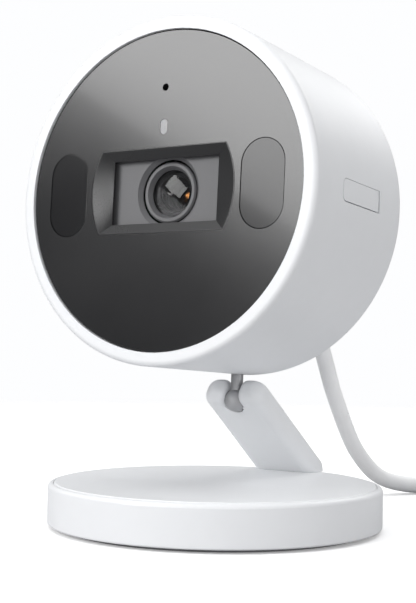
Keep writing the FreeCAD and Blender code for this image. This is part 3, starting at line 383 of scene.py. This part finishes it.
# %% [markdown]
# ## Metals
# The ball is turned and nickel plated: its tool marks are fine rings round the stem, so one noise is
# stretched a hundred times along the surface. Stamped steel shows its rolling direction the same
# way, and the aluminium spreader is coarser.

# %% Metal


def metal(slot, colour, roughness, stretch=(1, 1, 40), size=2.0, depth=0.006):
    finish = Finish(slot, Metallic=1.0)
    brushed = finish.noise(size, 3.0, finish.place(scale=stretch))
    stain = finish.noise(5.0, 2.0)
    finish.feed("Base Color", finish.tint((brushed * 0.5 + stain * 0.5).clamped(), scaled(colour, 0.88),
                                          scaled(colour, 1.06)))
    finish.feed("Roughness", (brushed - 0.5) * 0.16 + (stain - 0.5) * 0.08 + roughness)
    finish.bump(brushed, depth, 0.4)
    finishes[slot] = finish.material


metal("screw_steel", (0.58, 0.58, 0.60), 0.32, (1, 1, 1), 0.25)
metal("ballast_steel", (0.46, 0.46, 0.47), 0.42, (1, 30, 1))
metal("ball_steel", (0.46, 0.46, 0.47), 0.48, (1, 1, 30), 1.5)
metal("spreader_aluminium", (0.74, 0.75, 0.76), 0.4, (25, 1, 1))
metal("socket_metal", (0.62, 0.62, 0.62), 0.28, (1, 25, 1))
metal("copper_film", (0.68, 0.38, 0.2), 0.35, (20, 1, 1))

# %% [markdown]
# ## Soft parts and circuit boards
# The cord's jacket and the foot pad are soft and dull, with a softer, larger grain than the hard
# plastics. The circuit boards are laminate: a green mask over copper tracks, which a brick texture
# with very long bricks stands for, and gold-coloured holes from a Voronoi's nearest points.

# %% Rubber and laminate


def soft(slot, colour, roughness, size=0.4, depth=0.02):
    finish = Finish(slot, Sheen_Weight=0.08, Sheen_Roughness=0.5)
    grain = finish.noise(size, 3.0)
    scuff = finish.noise(8.0, 5.0, roughness=0.65)
    finish.feed("Base Color", finish.tint(scuff, scaled(colour, 0.94), scaled(colour, 1.03)))
    finish.feed("Roughness", (grain - 0.5) * 0.15 + (scuff - 0.5) * 0.12 + roughness)
    finish.bump(grain, depth, 0.5)
    finishes[slot] = finish.material


soft("cord_rubber", (0.93, 0.935, 0.94), 0.46)
soft("foot_rubber", (0.30, 0.30, 0.31), 0.72, 0.6, 0.05)
soft("thermal_grey", (0.42, 0.46, 0.50), 0.8, 0.5)
soft("tape_black", (0.03, 0.03, 0.03), 0.7, 0.8)


def laminate():
    finish = Finish("circuit_board", Coat_Weight=0.4, Coat_Roughness=0.2)
    where = finish.place()
    tracks = finish.node("ShaderNodeTexBrick", {"offset": 0.37}, {
        "Vector": where, "Scale": 180.0, "Mortar Size": 0.06, "Brick Width": 2.2, "Row Height": 0.12,
        "Color1": (0.010, 0.085, 0.030, 1), "Color2": (0.014, 0.105, 0.038, 1),
        "Mortar": (0.006, 0.050, 0.018, 1)}, "Color")
    pads = finish.node("ShaderNodeTexVoronoi", None, {"Vector": where, "Scale": 420.0}, "Distance")
    pad_mask = 1 - pads.above(0.16)
    colour = finish.node("ShaderNodeMix", {"data_type": "RGBA"},
                         {0: pad_mask, 6: tracks, 7: (0.72, 0.52, 0.20, 1)}, 2)
    finish.feed("Base Color", colour)
    finish.feed("Metallic", pad_mask)
    finish.feed("Roughness", pad_mask * -0.15 + 0.45)
    finish.bump(pad_mask, 0.02, 0.5)
    finishes["circuit_board"] = finish.material


laminate()

# %% [markdown]
# ## The frame's pieces take their finishes
# A piece from the frame keeps its shape and only changes its material. Each names its slot in the
# record, so one table dresses all of them.

# %% Dress the frame
for name, piece in nodes.items():
    piece.data.materials.clear()
    piece.data.materials.append(finishes[slot_of[name]])
print(f"dressed {len(nodes)} nodes with {len(set(slot_of.values()))} finishes")

# %% [markdown]
# ## Modelling by hand
# The pieces below start as a primitive and are shaped in edit mode. Every operator works on what is
# selected, so `fresh` starts with nothing selected and `pick` chooses faces by a test on their middle
# and their normal. A piece of the head is modelled upright at the origin, with z out of the front,
# and is then moved into the head's own frame with its place applied to its mesh.

# %% Helpers for modelling
HEAD_PITCH = math.radians(86.75)
HEAD_FRAME = Matrix.LocRotScale(Vector((0, -20.66, 64.66)) * MM, Euler((HEAD_PITCH, 0, 0)), None)


def fresh(name, add, **how):
    """A new primitive, in edit mode, with all of it selected."""
    if bpy.context.object and bpy.context.object.mode != "OBJECT":
        bpy.ops.object.mode_set(mode="OBJECT")
    bpy.ops.object.select_all(action="DESELECT")
    add(**how)
    piece = bpy.context.active_object
    piece.name = name
    bpy.ops.object.transform_apply(location=True, rotation=True, scale=True)
    bpy.ops.object.mode_set(mode="EDIT")
    return piece


def pick(piece, test):
    """Select the faces whose middle and normal pass, in millimetres."""
    bpy.ops.mesh.select_all(action="DESELECT")
    bpy.ops.mesh.select_mode(type="FACE")
    shape = bmesh.from_edit_mesh(piece.data)
    for face in shape.faces:
        face.select_set(test(face.calc_center_median() / MM, face.normal))
    shape.select_flush_mode()
    bmesh.update_edit_mesh(piece.data)


def slice_across(direction, places):
    """Cut the whole piece across a direction at these places, in millimetres."""
    direction = Vector(direction)
    for place in places:
        bpy.ops.mesh.select_all(action="SELECT")
        bpy.ops.mesh.bisect(plane_co=direction * place * MM, plane_no=direction)


def step_in(inset=0.0, depth=0.0):
    """Inset the selected faces, then push them along their normals, in millimetres."""
    if inset:
        bpy.ops.mesh.inset(thickness=inset * MM, use_even_offset=True)
    if depth:
        bpy.ops.mesh.extrude_region_shrink_fatten(
            TRANSFORM_OT_shrink_fatten={"value": depth * MM, "use_even_offset": True})


def settle(piece, frame_at, body, finish, stands_for=(), angle=35, bevel=0.0):
    """Leave edit mode, soften the edges, move into place and join a body."""
    bpy.ops.object.mode_set(mode="OBJECT")
    if bevel:
        edge = piece.modifiers.new("edge", "BEVEL")
        edge.width = bevel * MM
        edge.segments = 3
        edge.limit_method = "ANGLE"
        edge.angle_limit = math.radians(30)
        bpy.ops.object.modifier_apply(modifier="edge")
    piece.matrix_world = frame_at
    bpy.ops.object.transform_apply(location=True, rotation=True, scale=True)
    bpy.ops.object.shade_smooth_by_angle(angle=math.radians(angle))
    piece.data.materials.clear()
    piece.data.materials.append(finishes[finish])
    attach(piece, body)
    if stands_for:
        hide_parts(*stands_for)
    print(f"{piece.name}: {len(piece.data.polygons)} faces")


# %% [markdown]
# ## Inside the lens
# Behind the front glass a real lens is a black tunnel of steps that stops stray light, with a small
# coated element at its bottom. The tunnel is one disc that is inset and pushed back again and again.
# The element is a flattened sphere whose coating shows the lamps as small warm dots.

# %% Lens tunnel
TUNNEL_RADIUS, TUNNEL_FOOT, TUNNEL_RISE = 3.3, -12.4, 6.1
TUNNEL_STEPS, STEP_INSET, STEP_DEPTH = 4, 0.28, 0.9


def add_lens_tunnel():
    tunnel = fresh("lens_tunnel", bpy.ops.mesh.primitive_cylinder_add, vertices=64,
                   radius=TUNNEL_RADIUS * MM, depth=1.0 * MM, location=(0, 0, TUNNEL_FOOT * MM))
    pick(tunnel, lambda middle, normal: normal.z > 0.9)
    step_in(0.25)
    step_in(0.0, TUNNEL_RISE)
    step_in(0.15)
    for _ in range(TUNNEL_STEPS):
        step_in(STEP_INSET)
        step_in(0.0, -STEP_DEPTH)
    settle(tunnel, HEAD_FRAME, "head", "baffle_black")


add_lens_tunnel()

# %% Coated element
ELEMENT_RADIUS, ELEMENT_PLACE, ELEMENT_FLATNESS = 1.75, (0, 0, -8.9 * MM), 0.55


def add_inner_element():
    element = fresh("inner_element", bpy.ops.mesh.primitive_uv_sphere_add, segments=48,
                    ring_count=24, radius=ELEMENT_RADIUS * MM, location=ELEMENT_PLACE)
    bpy.ops.transform.resize(value=(1, 1, ELEMENT_FLATNESS), center_override=ELEMENT_PLACE)
    settle(element, HEAD_FRAME, "head", "amber_coat", ("inner_lenses",))


add_inner_element()

# %% [markdown]
# ## The strain relief
# Where the cord leaves the head it passes through a soft tapered sleeve. Its grooves let the sleeve
# bend a little at each ring, so the cord never folds at one point. A cylinder is bisected into
# rings, every second ring is pressed in, and its tail is drawn narrower by moving its rings in turn.

# %% Strain relief
GLAND_FRAME = HEAD_FRAME @ Matrix.Translation(Vector((0, -14.0, 0)) * MM)
GLAND_RADIUS, GLAND_FOOT, GLAND_NECK, GLAND_TAIL = 3.34, -31.6, -36.4, -43.3
GLAND_TAPER, GROOVES, GROOVE_DEPTH = 0.17, 9, 0.32


def narrow_tail(sleeve):
    """Draw the rings past the neck in, more and more towards the tail."""
    shape = bmesh.from_edit_mesh(sleeve.data)
    for corner in shape.verts:
        along = (GLAND_NECK - corner.co.z / MM) / (GLAND_NECK - GLAND_TAIL)
        if along > 0:
            corner.co.x *= 1 - GLAND_TAPER * along
            corner.co.y *= 1 - GLAND_TAPER * along
    bmesh.update_edit_mesh(sleeve.data)


def add_strain_relief():
    sleeve = fresh("strain_relief", bpy.ops.mesh.primitive_cylinder_add, vertices=48,
                   radius=GLAND_RADIUS * MM, depth=(GLAND_FOOT - GLAND_TAIL) * MM,
                   location=(0, 0, (GLAND_FOOT + GLAND_TAIL) / 2 * MM))
    pitch = (GLAND_NECK - GLAND_TAIL) / GROOVES
    slice_across((0, 0, 1), [GLAND_NECK - pitch * half / 2 for half in range(2 * GROOVES)])
    for number in range(GROOVES):
        high = GLAND_NECK - pitch * (number + 0.5)
        pick(sleeve, lambda middle, normal: high - pitch / 2 < middle.z < high and abs(normal.z) < 0.5)
        step_in(0.0, -GROOVE_DEPTH)
    narrow_tail(sleeve)
    # The end is dished, and closes on the cord.
    pick(sleeve, lambda middle, normal: normal.z < -0.9 and middle.z < GLAND_TAIL + 0.05)
    step_in(0.45)
    step_in(0.0, -0.5)
    settle(sleeve, GLAND_FRAME, "head", "cord_rubber", ("cord_gland",), 40, 0.06)


add_strain_relief()

# %% [markdown]
# ## The plug
# A USB plug has a soft overmoulded grip with rounded edges, a waist and a few finger ribs, and a
# folded steel shell with two square latch windows on its upper and lower face. Both start as a cube
# at the plug's own place: x runs along it, from the cord to the tip.

# %% The plug's place
GRIP_LENGTH, PLUG_REACH = 20.0, 32.0
PLUG_WAY = Vector((TAIL_ROUTE[-1][0] - TAIL_ROUTE[-2][0], TAIL_ROUTE[-1][1] - TAIL_ROUTE[-2][1], 0))
PLUG_FRAME = Matrix.LocRotScale(Vector(TAIL_ROUTE[-1]) * MM,
                                Euler((0, 0, math.atan2(PLUG_WAY.y, PLUG_WAY.x))), None)


def add_block(name, low, high):
    """A cube that is stretched between two corners, in millimetres."""
    low, high = Vector(low), Vector(high)
    block = fresh(name, bpy.ops.mesh.primitive_cube_add, size=2 * MM)
    bpy.ops.transform.resize(value=tuple((high - low) / 2), center_override=(0, 0, 0))
    bpy.ops.transform.translate(value=tuple((high + low) / 2 * MM))
    return block


# %% Plug grip
GRIP_HALF = (6.9, 3.9)
RIB_WIDTH, RIB_DEPTH, RIB_STARTS = 1.2, 0.45, (9.0, 11.6, 14.2)
GRIP_SLICES = (1.6, 3.2, 9.0, 10.2, 11.6, 12.8, 14.2, 15.4, 16.8, 18.0)


def add_plug_grip():
    wide, tall = GRIP_HALF
    grip = add_block("plug_grip_moulding", (0.3, -wide, -tall), (GRIP_LENGTH, wide, tall))
    slice_across((1, 0, 0), GRIP_SLICES)
    # Finger ribs: three shallow bands are pressed into the sides.
    for start in RIB_STARTS:
        pick(grip, lambda middle, normal: start < middle.x < start + RIB_WIDTH
             and abs(normal.y) > 0.9)
        step_in(0.0, -RIB_DEPTH)
    # The end by the cord steps down to a short collar.
    pick(grip, lambda middle, normal: normal.x < -0.9 and middle.x < 0.5)
    step_in(1.1)
    step_in(0.0, -0.25)
    settle(grip, PLUG_FRAME, "stand", "cord_rubber", ("plug_grip",), 40, 0.55)
    return grip


plug_grip = add_plug_grip()

# %% Plug shell
SHELL_HALF, SHELL_WALL, SHELL_HOLLOW = (5.98, 2.23), 0.3, 11.0
LATCH_ALONG, LATCH_ACROSS = (24.4, 26.9), (1.7, 4.2)


def in_latch(middle):
    """Whether a place is over one of the four latch windows."""
    along = LATCH_ALONG[0] < middle.x < LATCH_ALONG[1]
    return along and LATCH_ACROSS[0] < abs(middle.y) < LATCH_ACROSS[1]


def add_plug_shell():
    wide, tall = SHELL_HALF
    shell = add_block("plug_shell_folded", (GRIP_LENGTH + 0.02, -wide, -tall), (PLUG_REACH, wide, tall))
    near, far = LATCH_ACROSS
    slice_across((1, 0, 0), LATCH_ALONG)
    slice_across((0, 1, 0), (-far, -near, near, far))
    pick(shell, lambda middle, normal: normal.x > 0.9)
    step_in(SHELL_WALL)
    step_in(0.0, -SHELL_HOLLOW)
    # The latch windows are pressed almost through the upper and lower wall.
    pick(shell, lambda middle, normal: in_latch(middle) and abs(normal.z) > 0.9
         and abs(middle.z) > tall - 0.05)
    step_in(0.0, -SHELL_WALL * 0.9)
    settle(shell, PLUG_FRAME, "stand", "socket_metal", ("plug_shell",), 40, 0.08)
    return shell


plug_shell = add_plug_shell()

# %% [markdown]
# ## The cord's finish
# Both lengths take the cord's rubber finish, and the frame's four pieces of cord are hidden. Each
# tube's place is applied to its mesh.

# %% Cord finish
for cord in (upper_cord, lower_cord):
    cord.data.materials.clear()
    cord.data.materials.append(finishes["cord_rubber"])
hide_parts("cord_upper")
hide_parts("cord_lower", "cord_coil", "cord_tail")
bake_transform(upper_cord)
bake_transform(lower_cord)

# %% [markdown]
# ## Studio
# The main light is a large softbox at the front left, tilted so that the dark panel mirrors its
# lower edge as a slanting gradient. A wide one on the right, one behind and one overhead fill the
# white sides, and a narrow strip near the camera lights the left wall of the recess. The room is
# an even pale grey, and the floor fades into it without an edge.

# %% Floor
FLOOR_EDGE, FLOOR_FADE = 0.5, 0.3


def add_floor():
    bpy.ops.object.select_all(action="DESELECT")
    bpy.ops.mesh.primitive_plane_add(size=4.0, location=(0, 0, 0))
    floor = bpy.context.active_object
    floor.name = "studio_floor"
    paint = Finish("studio_floor", Specular_IOR_Level=0.1, Roughness=0.9)
    seen = paint.node("ShaderNodeLightPath", output="Is Camera Ray")
    paint.feed("Emission Strength", seen * 0.22)
    paint.shader.inputs["Emission Color"].default_value = (1, 1, 1, 1)
    mottle = (paint.noise(60.0) - 0.5) * 0.01
    colour = paint.tint((seen + mottle).clamped(), (0.44, 0.44, 0.45), (0.98, 0.98, 0.98))
    paint.feed("Base Color", colour)
    # Far from the object the floor thins out into the pale room.
    reach = paint.node("ShaderNodeVectorMath", {"operation": "LENGTH"}, {0: paint.place()}, "Value")
    paint.feed("Alpha", ((FLOOR_EDGE - reach) / FLOOR_FADE).clamped())
    floor.data.materials.append(paint.material)


add_floor()

# %% Softboxes
LIGHT_TARGET = Vector((0, 0, 50)) * MM


def add_softbox(name, azimuth, elevation, width, height, brightness, roll=0.0, distance=0.8):
    """A rectangular light of this radiance; its place and its sides are angles seen from the object."""
    data = bpy.data.lights.new(name, "AREA")
    data.shape = "RECTANGLE"
    data.size = 2 * distance * math.tan(math.radians(width / 2))
    data.size_y = 2 * distance * math.tan(math.radians(height / 2))
    data.energy = brightness * math.pi * data.size * data.size_y
    lamp = bpy.data.objects.new(name, data)
    bpy.context.scene.collection.objects.link(lamp)
    turn, rise = math.radians(azimuth), math.radians(elevation)
    away = Vector((math.sin(turn) * math.cos(rise), -math.cos(turn) * math.cos(rise), math.sin(rise)))
    facing = away.to_track_quat("Z", "Y") @ Quaternion((0, 0, 1), math.radians(roll))
    lamp.matrix_world = Matrix.LocRotScale(LIGHT_TARGET + away * distance, facing, None)


add_softbox("left_softbox", -24, 22.6, 40, 22, 8.0, roll=-31)
add_softbox("right_softbox", 84, 14, 44, 36, 1.6)
add_softbox("overhead_softbox", -40, 72, 40, 40, 1.4)
add_softbox("rear_softbox", 172, 40, 34, 34, 2.2)
add_softbox("front_strip", 27, 5, 10, 18, 3.6)

# %% Room


def add_room(level, zenith):
    """An even pale room, a little brighter overhead, and plain white where the camera sees it."""
    world = bpy.data.worlds.new("studio_room")
    bpy.context.scene.world = world
    world.use_nodes = True
    tree = world.node_tree
    background = tree.nodes["Background"]
    direction = tree.nodes.new("ShaderNodeSeparateXYZ")
    coordinates = tree.nodes.new("ShaderNodeTexCoord")
    tree.links.new(coordinates.outputs["Generated"], direction.inputs[0])
    height = tree.nodes.new("ShaderNodeMapRange")
    height.inputs["To Min"].default_value = level
    height.inputs["To Max"].default_value = zenith
    tree.links.new(direction.outputs["Z"], height.inputs["Value"])
    seen = tree.nodes.new("ShaderNodeLightPath").outputs["Is Camera Ray"]
    shown = tree.nodes.new("ShaderNodeMix")
    tree.links.new(seen, shown.inputs["Factor"])
    tree.links.new(height.outputs["Result"], shown.inputs["A"])
    shown.inputs["B"].default_value = 1.0
    tree.links.new(shown.outputs["Result"], background.inputs["Strength"])
    background.inputs["Color"].default_value = (0.985, 0.99, 1.0, 1)


add_room(0.235, 0.70)
bpy.context.scene.view_settings.view_transform = "Standard"
